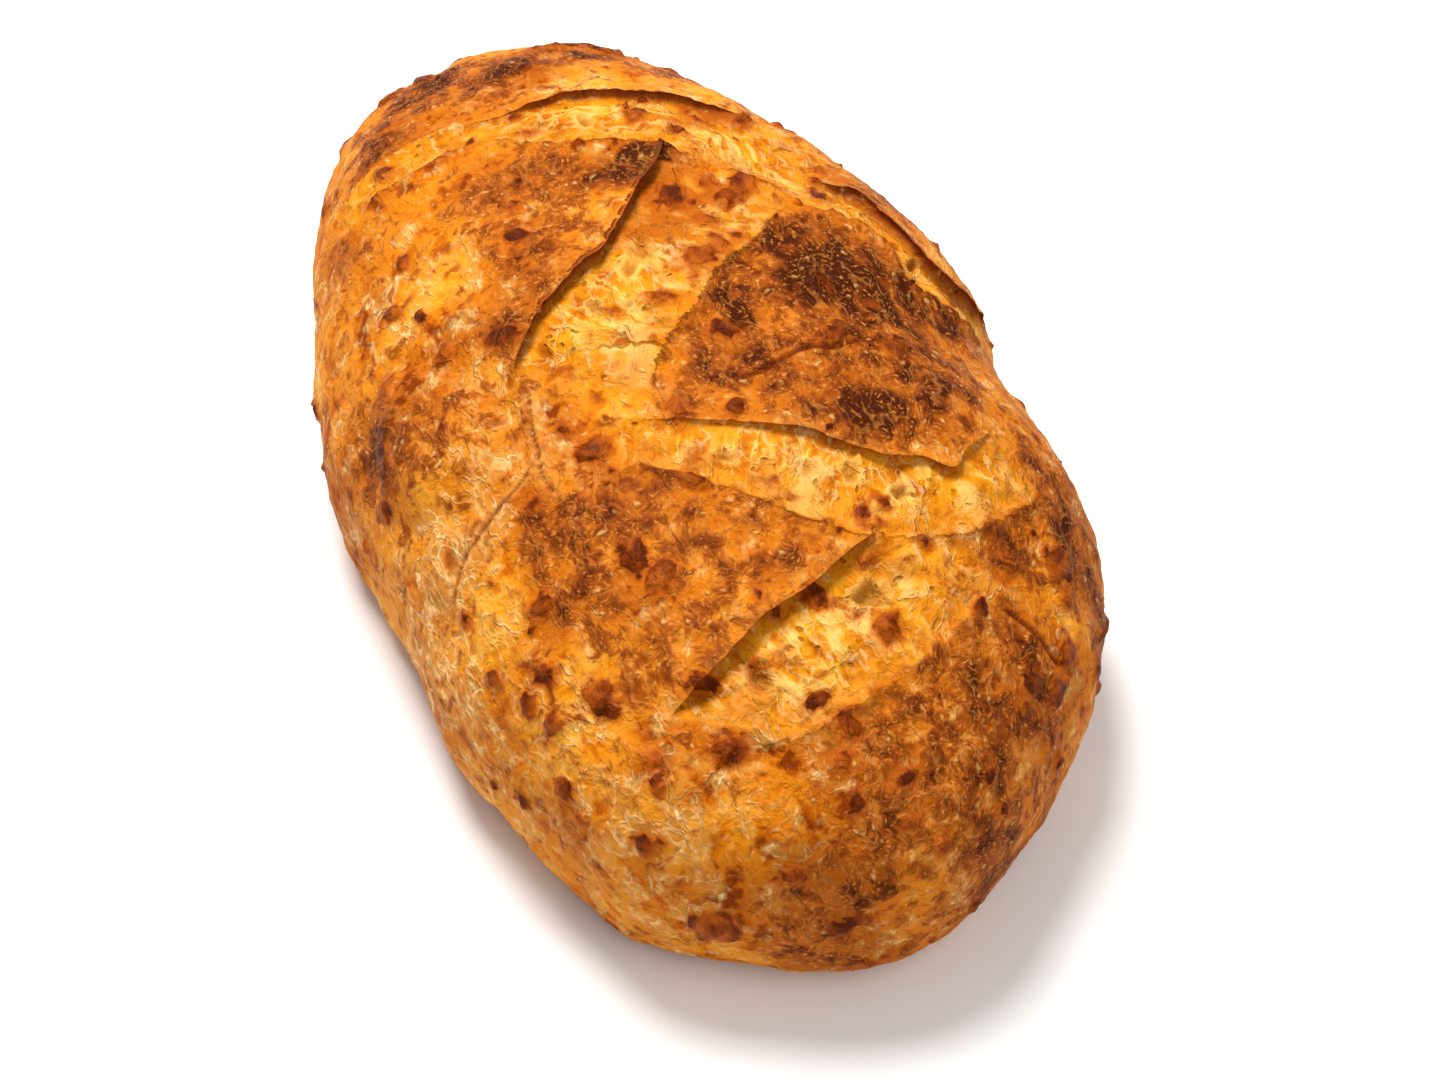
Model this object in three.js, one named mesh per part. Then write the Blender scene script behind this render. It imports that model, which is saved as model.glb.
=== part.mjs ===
// A scored sourdough loaf, baked as one piece: one solid, lying on the flat crust of its base.
//
// Millimetres. +X runs along the loaf, +Y across it and +Z up. The origin is on the base
// plane, under the middle of the loaf's box.

import * as THREE from 'three';
import { mergeVertices } from 'three/addons/utils/BufferGeometryUtils.js';

// Driving dimensions.
const LENGTH = 282;            // along X
const WIDTH = 165;             // along Y
const HEIGHT = 87.5;           // base to crown
const SHOULDER_HEIGHT = 30;    // height of the widest ring
const DOME_FULLNESS = 2.1;     // 2 is an ellipse, more is boxier
const TUCK_FULLNESS = 0.9;     // how tightly the side rolls under to the base
const BASE_RATIO = 0.85;       // outline of the base against the widest ring
const BASE_LATITUDE = THREE.MathUtils.degToRad(40);  // where the sphere's underside turns flat
const DETAIL = 17;             // 20 * (DETAIL + 1)^2 triangles
const CURVE_STEPS = 24;        // sample points on each span of an outline or a cut's edge

// The point that every ring of the dome shrinks towards, seen from above.
const CROWN = new THREE.Vector2(1, -2);

// Widest ring, seen from above: the loaf is a little waisted on both sides.
const OUTLINE = [
  [141, -3], [111, 48], [65, 76], [21, 76], [-19, 82], [-59, 70], [-102, 47], [-129, 26],
  [-141, -3], [-133, -32], [-111, -55], [-59, -75], [-19, -83], [19, -82], [61, -80], [116, -60],
];

// The four score cuts, seen from above. The lip is the side whose crust curled up as the loaf
// opened, and the far edge is where the torn crumb climbs back to the crust.
const CUTS = [
  {
    lip: [[-86, -62], [-90, -36], [-87, -5], [-76, 29], [-51, 46], [-19, 59], [0, 71]],
    far: [[-72, -66], [-78, -40], [-68, -14], [-55, 12], [-25, 37], [-6, 53], [15, 70]],
    depth: 5,
  },
  {
    lip: [[-55, 12], [-40, -1], [-27, -13], [-16, -32], [5, -45]],
    far: [[-25, 37], [-15, 21], [3, -1], [18, -18], [28, -19]],
    depth: 6,
  },
  {
    lip: [[24, -30], [37, -7], [46, 10], [54, 22], [59, 36], [49, 52]],
    far: [[39, -42], [42, -28], [58, -10], [74, 9], [76, 32], [65, 64]],
    depth: 6,
  },
  {
    lip: [[74, 9], [81, -10], [88, -32], [95, -47]],
    far: [[92, 32], [104, 10], [109, -10], [110, -31]],
    depth: 6,
  },
];
const LIP_WIDTH = 8;           // how far into a cut its steep side runs down
const EAR_HEIGHT = 2.5;        // lift of the crust along a lip
const EAR_SPREAD = 9;          // how far back from the lip the crust is still lifted

// A smooth line through points, as a list of its samples.
function smoothLine(points, closed) {
  const curve = new THREE.CatmullRomCurve3(
    points.map(([x, y]) => new THREE.Vector3(x, y, 0)), closed, 'centripetal');
  return curve.getPoints(points.length * CURVE_STEPS).map((p) => new THREE.Vector2(p.x, p.y));
}

// Distance from the crown to the widest ring, in the direction of an angle.
const ring = smoothLine(OUTLINE, true).map((p) => p.clone().sub(CROWN));
function ringRadius(angle) {
  const ray = new THREE.Vector2(Math.cos(angle), Math.sin(angle));
  for (let i = 1; i < ring.length; i += 1) {
    const [start, end] = [ring[i - 1], ring[i]];
    const [before, after] = [ray.cross(start), ray.cross(end)];
    if (before <= 0 && after > 0 && ray.dot(start) > 0) {
      return start.clone().lerp(end, before / (before - after)).dot(ray);
    }
  }
  return ring[0].length();
}

// Shortest distance from a point to a line of samples.
function distanceTo(line, point) {
  let nearest = Infinity;
  for (let i = 1; i < line.length; i += 1) {
    const span = line[i].clone().sub(line[i - 1]);
    const along = point.clone().sub(line[i - 1]).dot(span) / span.lengthSq();
    const foot = line[i - 1].clone().addScaledVector(span, THREE.MathUtils.clamp(along, 0, 1));
    nearest = Math.min(nearest, foot.distanceTo(point));
  }
  return nearest;
}

function isInside(polygon, point) {
  let inside = false;
  for (let i = 0, j = polygon.length - 1; i < polygon.length; j = i, i += 1) {
    const [a, b] = [polygon[i], polygon[j]];
    const crosses = (a.y > point.y) !== (b.y > point.y);
    if (crosses && point.x < a.x + (b.x - a.x) * (point.y - a.y) / (b.y - a.y)) inside = !inside;
  }
  return inside;
}

const cuts = CUTS.map(({ lip, far, depth }) => {
  const [lipLine, farLine] = [smoothLine(lip, false), smoothLine(far, false)];
  return { lipLine, farLine, depth, opening: [...lipLine, ...farLine.toReversed()] };
});

// Height that the cuts take from the dome at a point seen from above, and the ears add to it.
function scoring(point) {
  let lift = 0;
  for (const { lipLine, farLine, depth, opening } of cuts) {
    const fromLip = distanceTo(lipLine, point);
    if (isInside(opening, point)) {
      const across = fromLip / (fromLip + distanceTo(farLine, point));
      const drop = (depth + EAR_HEIGHT) * THREE.MathUtils.smoothstep(fromLip, 0, LIP_WIDTH);
      return (EAR_HEIGHT - drop) * (1 - across);
    }
    lift = Math.max(lift, EAR_HEIGHT * Math.exp(-fromLip / EAR_SPREAD));
  }
  return lift;
}

// The dome's ring at a latitude of the sphere: its size against the widest ring, and its height.
function ringAt(latitude) {
  if (latitude >= 0) {
    const power = 2 / DOME_FULLNESS;
    return {
      size: Math.cos(latitude) ** power,
      height: SHOULDER_HEIGHT + (HEIGHT - SHOULDER_HEIGHT) * Math.sin(latitude) ** power,
    };
  }
  if (latitude > -BASE_LATITUDE) {
    const roll = -latitude / BASE_LATITUDE * Math.PI / 2;
    return {
      size: BASE_RATIO + (1 - BASE_RATIO) * Math.cos(roll) ** TUCK_FULLNESS,
      height: SHOULDER_HEIGHT * (1 - Math.sin(roll) ** TUCK_FULLNESS),
    };
  }
  return {
    size: BASE_RATIO * (Math.PI / 2 + latitude) / (Math.PI / 2 - BASE_LATITUDE),
    height: 0,
  };
}

// The loaf: a ball whose rings take the loaf's outline and heights, then its cuts.
function loafGeometry() {
  const ball = new THREE.IcosahedronGeometry(1, DETAIL);
  ball.deleteAttribute('normal');
  ball.deleteAttribute('uv');
  const geometry = mergeVertices(ball);
  const place = geometry.attributes.position;
  const point = new THREE.Vector3();
  const plan = new THREE.Vector2();
  for (let i = 0; i < place.count; i += 1) {
    point.fromBufferAttribute(place, i).normalize();
    const angle = Math.atan2(point.y * WIDTH, point.x * LENGTH);
    const { size, height } = ringAt(Math.asin(point.z));
    plan.set(Math.cos(angle), Math.sin(angle)).multiplyScalar(ringRadius(angle) * size).add(CROWN);
    const scored = height > SHOULDER_HEIGHT ? scoring(plan) : 0;
    const fade = THREE.MathUtils.smoothstep(height, SHOULDER_HEIGHT, HEIGHT * 0.6);
    place.setXYZ(i, plan.x, plan.y, height + scored * fade);
  }
  geometry.computeBoundingBox();
  const centre = geometry.boundingBox.getCenter(new THREE.Vector3());
  geometry.translate(-centre.x, -centre.y, 0);
  geometry.computeVertexNormals();
  return geometry;
}

const crust = new THREE.MeshStandardMaterial({ color: 0xd08a35, roughness: 0.62, metalness: 0 });
const loaf = new THREE.Mesh(loafGeometry(), crust);
loaf.name = 'loaf';

const model = new THREE.Group();
model.add(loaf);

export default model;
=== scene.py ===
# A scored sourdough loaf with cheese in its dough, baked as one piece and lying on its base.
# Sizes are in millimetres, and MM turns them to Blender's metres.
import math
import random

import bpy
import numpy as np
from mathutils import Euler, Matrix, Vector, kdtree, noise


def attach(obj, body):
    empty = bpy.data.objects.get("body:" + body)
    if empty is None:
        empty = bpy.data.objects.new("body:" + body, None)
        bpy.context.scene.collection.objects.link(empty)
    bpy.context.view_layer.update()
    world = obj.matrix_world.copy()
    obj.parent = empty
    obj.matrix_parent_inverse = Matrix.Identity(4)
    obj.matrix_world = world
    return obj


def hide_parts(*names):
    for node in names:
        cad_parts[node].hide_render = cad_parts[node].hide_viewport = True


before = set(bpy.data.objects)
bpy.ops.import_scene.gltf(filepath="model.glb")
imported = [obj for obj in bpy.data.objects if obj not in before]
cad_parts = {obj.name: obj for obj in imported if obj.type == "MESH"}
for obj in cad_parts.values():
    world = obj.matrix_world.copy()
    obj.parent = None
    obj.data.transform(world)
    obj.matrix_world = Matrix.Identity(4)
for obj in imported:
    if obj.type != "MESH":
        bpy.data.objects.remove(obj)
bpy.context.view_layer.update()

MM = 0.001
scene = bpy.context.scene
noise.seed_set(1)        # without a seed, noise_vector would differ in each run

# ---------------------------------------------------------------- the loaf's sizes

HEIGHT = 87.5            # base to crown
SHOULDER = 30.0          # height of the widest ring
FULLNESS = 2.1           # of the dome: 2 is an ellipse, more is boxier
TUCK = 0.9               # how tightly the side rolls under to the base
BASE_RATIO = 0.85        # outline of the base against the widest ring
BASE_LATITUDE = math.radians(40)    # where the underside of the ball that it starts as turns flat
CROWN = np.array([1.0, -2.0])

# Widest ring, seen from above.
OUTLINE = [
    (141, -3), (111, 48), (65, 76), (21, 76), (-19, 82), (-59, 70), (-102, 47), (-129, 26),
    (-141, -3), (-133, -32), (-111, -55), (-59, -75), (-19, -83), (19, -82), (61, -80), (116, -60),
]

# The score cuts. A lip's points are x, y and how far the crust curls up there: 0 is not at all.
# depth: how far the torn floor lies below the crust beside the lip.
# rise: how late the floor climbs back to the far edge. 1 is a straight slope.
# slot: how much deeper the floor is right under the lip.
# ear and over: how high the lip stands, and how far it leans over the cut, for a curl of 1.
# dark: how dark the shade painted into the corner under the lip is.
# strands: which way the torn dough was pulled, along the cut or across it.
CUTS = [
    {   # across the far end, and down the right side
        "lip": [(-86, -62, 0.0), (-90, -36, 0.1), (-85, -18, 0.5), (-86, -4, 1.0), (-84, 7, 1.0),
                (-79, 21, 1.0), (-73, 34, 0.8), (-66, 42, 0.3), (-39, 46, 0.4), (-33, 54, 1.2),
                (-19, 59, 2.2), (-7, 63, 2.6), (-3, 72, 2.0), (-5, 81, 0.0)],
        "far": [(-72, -66), (-77, -51), (-77, -35), (-75, -23), (-65, -13), (-60, 1), (-55, 12),
                (-40, 26), (-25, 37), (-21, 43), (-12, 53), (1, 53), (10, 66), (13, 76)],
        "depth": 1.7, "slot": 0.3, "ear": 0.9, "over": 1.0, "rise": 2.0, "dark": 0.7,
        "strands": "along",
    },
    {   # the big cut beside the crown
        "lip": [(-56, 13, 0.8), (-49, 7, 1.0), (-42, 0, 1.0), (-36, -5, 1.0), (-27, -13, 1.0),
                (-23, -17, 1.2), (-22, -22, 1.2), (-16, -31, 1.0), (-13, -36, 1.0), (-7, -42, 0.9),
                (-1, -46, 0.5), (5, -45, 0.0)],
        "far": [(-25, 37), (-22, 30), (-15, 21), (-6, 7), (2, -1), (12, -14), (19, -19), (28, -19)],
        "depth": 2.0, "slot": 0.9, "ear": 1.7, "over": 2.0, "rise": 1.5, "dark": 0.9,
        "strands": "across",
    },
    {   # the middle cut
        "lip": [(22, -33, 0.0), (29, -21, 0.4), (36, -7, 0.7), (42, 5, 0.9), (49, 14, 1.0),
                (54, 22, 1.1), (56, 32, 1.2), (59, 36, 1.2), (56, 40, 1.0), (53, 45, 0.8),
                (49, 53, 0.0)],
        "far": [(40, -46), (38, -34), (47, -22), (57, -11), (68, 1), (74, 9), (77, 30), (66, 62)],
        "depth": 1.6, "slot": 0.2, "ear": 1.1, "over": 1.2, "rise": 1.5, "dark": 0.3,
        "strands": "across",
    },
    {   # the cut nearest the loaf's broad end
        "lip": [(73, 10, 0.7), (76, -1, 1.0), (80, -11, 1.0), (82, -20, 1.0), (87, -32, 1.0),
                (91, -41, 0.9), (96, -49, 0.0)],
        "far": [(92, 32), (99, 18), (106, 3), (109, -12), (110, -24), (106, -36)],
        "depth": 3.4, "slot": 0.3, "ear": 1.4, "over": 1.6, "rise": 1.3, "dark": 0.45,
        "strands": "across",
    },
]

# Thin seams where two folds of dough meet: depth, how pale, how far pricked, and points x, y.
SEAMS = [
    (0.9, 0.25, 0.85, [(5, -45), (9, -46), (16, -48), (23, -49), (28, -50), (33, -50), (37, -48)]),
    (0.7, 0.3, 0.9, [(18, -18), (25, -19)]),
    (0.45, 0.3, 0.4, [(24, -50), (27, -55), (29, -61), (31, -66), (33, -70), (36, -74), (39, -77)]),
    (1.1, 0.0, 0.0, [(26, -2), (25, 6), (23, 12), (22, 18), (23, 24), (21, 32), (23, 38)]),
    (1.1, 0.0, 0.0, [(92, 35), (96, 40), (100, 43), (103, 45), (103, 48)]),
    (0.8, 0.0, 0.3, [(62, -70), (70, -66), (78, -66)]),
]
PRICK = 1.9              # from hole to hole in a pricked seam

# A pillow of dough that swelled out of the side, seen from above.
PILLOW = [
    (-25, -70), (-13, -77), (0, -79), (13, -76), (22, -66), (24, -56), (14, -52), (0, -54),
    (-14, -58),
]


def spline(points, closed=False, spans=16):
    """Centripetal Catmull-Rom line through points, as an array of its samples."""
    p = np.array(points, float)
    if closed:
        p = np.vstack([p[-1:], p, p[:2]])
    else:
        p = np.vstack([2 * p[0] - p[1], p, 2 * p[-1] - p[-2]])
    t = np.linspace(0, 1, spans, endpoint=False)[:, None]
    line = []
    for a, b, c, d in zip(p, p[1:], p[2:], p[3:]):
        before, here, after = (math.dist(u[:2], v[:2]) ** 0.5 for u, v in ((a, b), (b, c), (c, d)))
        start = c - b + here * ((b - a) / before - (c - a) / (before + here))
        end = c - b + here * ((d - c) / after - (d - b) / (here + after))
        line.append(b + start * t + (3 * (c - b) - 2 * start - end) * t**2
                    + (2 * (b - c) + start + end) * t**3)
    if not closed:
        line.append(p[-2:-1])
    return np.vstack(line)


def smooth(value, low, high):
    """0 below low, 1 above high, and a smooth step between them."""
    t = np.clip((value - low) / (high - low), 0, 1)
    return t * t * (3 - 2 * t)


def nearest_on(line, plan):
    """For each plan point: the nearest point of a line, how far along it, and on which side."""
    best = np.full(len(plan), 1e9)
    foot = np.zeros((len(plan), line.shape[1]))
    side = np.ones(len(plan))
    along = np.zeros(len(plan))
    lengths = np.hypot(*np.diff(line[:, :2], axis=0).T)
    reach = np.concatenate([[0], np.cumsum(lengths)])
    for k, (a, b) in enumerate(zip(line, line[1:])):
        span = (b - a)[:2]
        t = np.clip((plan - a[:2]) @ span / (span @ span), 0, 1)
        near = a + t[:, None] * (b - a)
        gap = plan - near[:, :2]
        distance = np.hypot(gap[:, 0], gap[:, 1])
        closer = distance < best
        best[closer] = distance[closer]
        foot[closer] = near[closer]
        along[closer] = reach[k] + t[closer] * lengths[k]
        cross = span[0] * gap[:, 1] - span[1] * gap[:, 0]
        side[closer] = np.sign(cross[closer])
    return best, foot, along, side, reach[-1]


def directions(line):
    """Which way a line runs at each of its points, seen from above."""
    run = np.gradient(line[:, :2], axis=0)
    return run / np.hypot(run[:, 0], run[:, 1])[:, None]


def inside(polygon, plan):
    """Which plan points lie inside a closed line."""
    result = np.zeros(len(plan), bool)
    for a, b in zip(polygon, np.roll(polygon, 1, axis=0)):
        spans = (a[1] > plan[:, 1]) != (b[1] > plan[:, 1])
        with np.errstate(divide="ignore", invalid="ignore"):
            crossing = a[0] + (b[0] - a[0]) * (plan[:, 1] - a[1]) / (b[1] - a[1])
        result ^= spans & (plan[:, 0] < crossing)
    return result


# ---------------------------------------------------------------- the loaf's body

ring = spline(OUTLINE, closed=True) - CROWN
ring_angles = np.unwrap(np.arctan2(ring[:, 1], ring[:, 0]))
ring_reach = np.hypot(ring[:, 0], ring[:, 1])


def ring_radius(angle):
    """Distance from the crown to the widest ring, in the direction of an angle."""
    turn = 2 * math.pi
    angles = np.concatenate([ring_angles - turn, ring_angles, ring_angles + turn])
    return np.interp(angle, angles, np.tile(ring_reach, 3))


def onto_dome(ball):
    """Moves the points of a ball of radius 1 onto the plain dome of the loaf."""
    length, width = np.ptp(np.array(OUTLINE), axis=0)
    angle = np.arctan2(ball[:, 1] * width, ball[:, 0] * length)
    latitude = np.arcsin(np.clip(ball[:, 2], -1, 1))
    up = np.clip(latitude, 0, None)
    size = np.cos(up) ** (2 / FULLNESS)
    height = SHOULDER + (HEIGHT - SHOULDER) * np.sin(up) ** (2 / FULLNESS)
    roll = np.clip(-latitude / BASE_LATITUDE, 0, 1) * math.pi / 2
    under = latitude < 0
    size[under] = (BASE_RATIO + (1 - BASE_RATIO) * np.cos(roll) ** TUCK)[under]
    height[under] = (SHOULDER * (1 - np.sin(roll) ** TUCK))[under]
    flat = latitude <= -BASE_LATITUDE
    size[flat] = (BASE_RATIO * (math.pi / 2 + latitude) / (math.pi / 2 - BASE_LATITUDE))[flat]
    height[flat] = 0
    plan = np.stack([np.cos(angle), np.sin(angle)], 1) * (ring_radius(angle) * size)[:, None]
    return np.column_stack([plan + CROWN, height])


def points_of(mesh):
    """A mesh's points, in millimetres."""
    co = np.empty(len(mesh.vertices) * 3)
    mesh.vertices.foreach_get("co", co)
    return co.reshape(-1, 3) / MM


def set_points(mesh, points):
    mesh.vertices.foreach_set("co", (points * MM).ravel())
    mesh.update()


def select_faces(mesh, chosen):
    """Selects the chosen faces of a mesh and nothing else of it."""
    mesh.polygons.foreach_set("select", chosen)
    mesh.edges.foreach_set("select", np.zeros(len(mesh.edges), bool))
    mesh.vertices.foreach_set("select", np.zeros(len(mesh.vertices), bool))


def face_centres(mesh):
    co = np.empty(len(mesh.polygons) * 3)
    mesh.polygons.foreach_get("center", co)
    return co.reshape(-1, 3) / MM


def all_triangles():
    """Turns the mesh in edit mode to triangles."""
    bpy.ops.mesh.select_all(action="SELECT")
    bpy.ops.mesh.quads_convert_to_tris()


# A ball is turned to the dome, then to an even mesh of short edges.
GRAIN = 1.2              # edge length of the dough's mesh
bpy.ops.object.select_all(action="DESELECT")
bpy.ops.mesh.primitive_ico_sphere_add(subdivisions=7, radius=1)
loaf = bpy.context.object
loaf.name = "crust"
set_points(loaf.data, onto_dome(points_of(loaf.data) * MM))
remesh = loaf.modifiers.new("even mesh", "REMESH")
remesh.mode = "VOXEL"
remesh.voxel_size = GRAIN * MM
bpy.ops.object.modifier_apply(modifier=remesh.name)
mesh = loaf.data

# Fewer faces on the flat base, which has no relief.
FINE_RIM = 0.05          # share of the radius that keeps its fine mesh inside the base's edge
BASE_FACES = 0.06        # share of the base's faces that stay
bpy.ops.object.mode_set(mode="EDIT")
bpy.ops.mesh.select_mode(type="FACE")
all_triangles()
bpy.ops.object.mode_set(mode="OBJECT")
centres = face_centres(mesh)
plan = centres[:, :2] - CROWN
share = np.hypot(plan[:, 0], plan[:, 1]) / ring_radius(np.arctan2(plan[:, 1], plan[:, 0]))
select_faces(mesh, (centres[:, 2] < 0.4) & (share < BASE_RATIO - FINE_RIM))
bpy.ops.object.mode_set(mode="EDIT")
bpy.ops.mesh.decimate(ratio=BASE_FACES)
all_triangles()
bpy.ops.object.mode_set(mode="OBJECT")

# ---------------------------------------------------------------- the cuts

# A lip is a little ragged: broad waves, and small nicks.
for cut in CUTS:
    lip, far = spline(cut["lip"], spans=10), spline(cut["far"], spans=10)
    for point, (run_x, run_y) in zip(lip, directions(lip)):
        spot = Vector((point[0], point[1], 0))
        ragged = 0.7 * noise.noise(spot / 9) + 0.25 * noise.noise(spot / 2.6 + Vector((9, 0, 0)))
        point[0] += -run_y * ragged
        point[1] += run_x * ragged
    cut["lip_line"], cut["far_line"] = lip, far
    cut["area"] = np.vstack([lip[:, :2], far[::-1]])


def measure(cut, plan):
    """Where plan points stand in a cut: the distances that its shape is worked out from."""
    to_lip, foot, along, side, _ = nearest_on(cut["lip_line"], plan)
    to_far = nearest_on(cut["far_line"], plan)[0]
    ends = [np.vstack([cut["lip_line"][k, :2], cut["far_line"][k]]) for k in (0, -1)]
    to_end = np.minimum(*(nearest_on(end, plan)[0] for end in ends))
    return {"lip": to_lip, "foot": foot, "along": along, "side": side, "far": to_far,
            "end": to_end, "within": inside(cut["area"], plan)}


# Finer faces along the lips that curl, and then along the seams.
FINE_IN_CUT = 4.5        # how far into a cut the faces are finer
FINE_BESIDE = 1.8        # and how far behind a lip, and beside a seam
for cut in CUTS:
    centres = face_centres(mesh)
    high = centres[:, 2] > SHOULDER
    near = np.zeros(len(centres), bool)
    spot = measure(cut, centres[high, :2])
    reach = np.where(spot["within"], FINE_IN_CUT, FINE_BESIDE)
    near[high] = (spot["lip"] < reach) & (spot["foot"][:, 2] > 0.15)
    if cut is CUTS[-1]:
        for *_, line in SEAMS:
            to_seam = nearest_on(spline(line, spans=6), centres[high, :2])[0]
            near[high] |= to_seam < FINE_BESIDE
    select_faces(mesh, near)
    bpy.ops.object.mode_set(mode="EDIT")
    bpy.ops.mesh.subdivide(number_cuts=1, ngon=False)
    all_triangles()
    bpy.ops.object.mode_set(mode="OBJECT")

points = points_of(mesh)
normals = np.empty(len(points) * 3)
mesh.vertex_normals.foreach_get("vector", normals)
normals = normals.reshape(-1, 3)
edges = np.empty(len(mesh.edges) * 2, int)
mesh.edges.foreach_get("vertices", edges)
edges = edges.reshape(-1, 2)
high = np.flatnonzero(points[:, 2] > SHOULDER * 0.9)

# Which side of its lip a cut is on, so that the signed distance from the lip is positive in it.
for cut in CUTS:
    spot = measure(cut, points[high, :2])
    clear = spot["within"] & (spot["lip"] > 3) & (spot["far"] > 3)
    cut["sign"] = np.sign(np.median(spot["side"][clear]))

# The mesh's edges are laid along the lips, so that each lip is one crisp edge: of the two ends
# of an edge that crosses a lip, the nearer one moves onto it.
ACROSS = 2.5             # furthest that an end of such an edge is from the lip
for cut in CUTS:
    spot = measure(cut, points[high, :2])
    signed = np.full(len(points), -99.0)
    signed[high] = spot["lip"] * spot["side"] * cut["sign"]
    foot = np.zeros((len(points), 3))
    foot[high] = spot["foot"]
    a, b = edges.T
    reach = np.maximum(abs(signed[a]), abs(signed[b]))
    crossing = (signed[a] * signed[b] < 0) & (reach < ACROSS)
    a, b = a[crossing], b[crossing]
    moved = np.where(abs(signed[a]) < abs(signed[b]), a, b)
    moved = np.unique(moved[foot[moved, 2] > 0.02])
    step = foot[moved, :2] - points[moved, :2]
    slope = -(step * normals[moved, :2]).sum(1) / np.maximum(normals[moved, 2], 0.2)
    points[moved, :2] = foot[moved, :2]
    points[moved, 2] += slope
    cut["on_lip"] = moved

# ---------------------------------------------------------------- shaping

count = len(points)
tatters = np.array([2.6 * noise.noise(Vector(p) / 5.5) for p in points[high]])
lift = np.zeros(count)              # out along the dome's normal
slide = np.zeros((count, 3))        # along the dome
torn = np.zeros(count)              # how much of the surface is torn crumb
strand_along = np.zeros(count)      # place in a cut, along and across the stretched strands
strand_across = np.zeros(count)
lip_edge_highlight = np.zeros(count)         # painted highlight on the thin edge of a curled flap
crease_shade = np.zeros(count)            # painted shade in the deep corner under a lip, and in the grooves of the seams
seam = np.zeros(count)              # stretched pale where two folds meet
fold = np.zeros(count)              # where the torn dough lies in folds
FLAP_REACH = 40                     # how far behind its lip a flap is still lifted
ROLL = 4.5                          # how far into a cut the wall under its lip reaches
UNDERCUT = 1.8                      # how far that wall is hollowed back under the lip
RIDGE = 0.8                         # height of the fold where the torn floor meets the crust
for cut in CUTS:
    spot = measure(cut, points[high, :2])
    signed = spot["lip"] * spot["side"] * cut["sign"]
    signed[np.isin(high, cut["on_lip"])] = 0
    within = spot["within"] & (signed > 0)
    curl = np.clip(spot["foot"][:, 2], 0, 3)
    away = points[high, :2] - spot["foot"][:, :2]
    away /= np.maximum(np.hypot(away[:, 0], away[:, 1]), 1e-6)[:, None]
    away *= np.where(signed < 0, -1, 1)[:, None]
    on = signed == 0
    if on.any():        # a point on the lip takes its direction from the lip
        run = directions(cut["lip_line"])
        gap = points[high[on]][:, None, :2] - cut["lip_line"][None, :, :2]
        k = np.argmin((gap**2).sum(2), 1)
        away[on] = np.stack([-run[k, 1], run[k, 0]], 1) * cut["sign"]
    normal = normals[high]
    across = np.column_stack([away, np.zeros(len(high))])
    across -= (across * normal).sum(1)[:, None] * normal
    across /= np.maximum(np.linalg.norm(across, axis=1), 1e-6)[:, None]

    # The flap's crust rises towards the lip and leans over the cut.
    back = np.where(signed <= 0, signed, 0)
    flap = (signed <= 0) & (spot["lip"] < FLAP_REACH)
    rise = cut["ear"] * curl * (0.6 * np.exp(back / 10) + 0.4 * np.exp(back / 2.5))
    lean = cut["over"] * curl * np.exp(back / 4.5)
    lift[high] += np.where(flap, rise, 0)
    slide[high] += np.where(flap, lean, 0)[:, None] * across
    # The flap's thin edge gets a painted highlight, where the lip catches the light.
    edge = np.where(flap, np.exp(back / 1.1) * smooth(curl, 0.2, 0.6), 0)
    lip_edge_highlight[high] = np.maximum(lip_edge_highlight[high], edge)

    # In the cut, a hollowed wall falls from the lip to a floor that climbs to the far edge.
    width = spot["lip"] + spot["far"]
    share = spot["lip"] / np.maximum(width, 1e-6)
    fade = smooth(spot["end"], 0, 9) * smooth(width, 3, 12)
    floor = -cut["depth"] * (1 - share ** cut["rise"])
    floor -= cut["slot"] * curl * np.exp(-signed / 2.5)
    floor *= fade
    down = np.clip(signed / ROLL, 0, 1)
    steep = np.minimum(curl, 1)
    hollow = 6.75 * down * (1 - down) ** 2      # 1 where it is deepest
    under = cut["over"] * curl * (1 - down) ** 3 - UNDERCUT * steep * hollow
    fall = steep * smooth(down, 0.02, 0.62) + (1 - steep) * smooth(signed, 0, 9)
    inner = cut["ear"] * curl * (1 - fall) + floor * fall
    lift[high] += np.where(within, inner, 0)
    slide[high] += np.where(within, under, 0)[:, None] * across
    ridge = np.exp(-((spot["far"] / 1.3) ** 2)) * smooth(spot["end"], 1, 8) * (spot["lip"] > 6)
    lift[high] += RIDGE * ridge

    # Marks for the material: torn crumb with a tattered edge, painted shade in the corner under the
    # lip, folds, strands.
    opened = smooth(spot["far"] + tatters, 0, 3) * smooth(fade + 0.1 * tatters, 0.1, 0.6)
    opened *= 0.75 + 0.25 * smooth(spot["far"] + 2 * tatters, 2, 11)
    opened = np.where(within, opened, 0)
    torn[high] = np.maximum(torn[high], opened)
    # Painted shade: darkest right under the lip, fading out across the wall.
    corner_shade = cut["dark"] * steep * (1 - smooth(signed, 0.8, 4.0))
    corner_shade = np.where(on, 0.4 * cut["dark"] * steep, np.where(within, corner_shade, 0))
    crease_shade[high] = np.maximum(crease_shade[high], corner_shade)
    fold[high] = np.maximum(fold[high], np.where(within, smooth(signed, 2, 7) * fade, 0))
    line, cross = spot["along"], spot["lip"]
    if cut["strands"] == "along":
        line, cross = cross, line
    strand_along[high] = np.where(within, line, strand_along[high])
    strand_across[high] = np.where(within, cross, strand_across[high])

# ---------------------------------------------------------------- colour and relief by place

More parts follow.
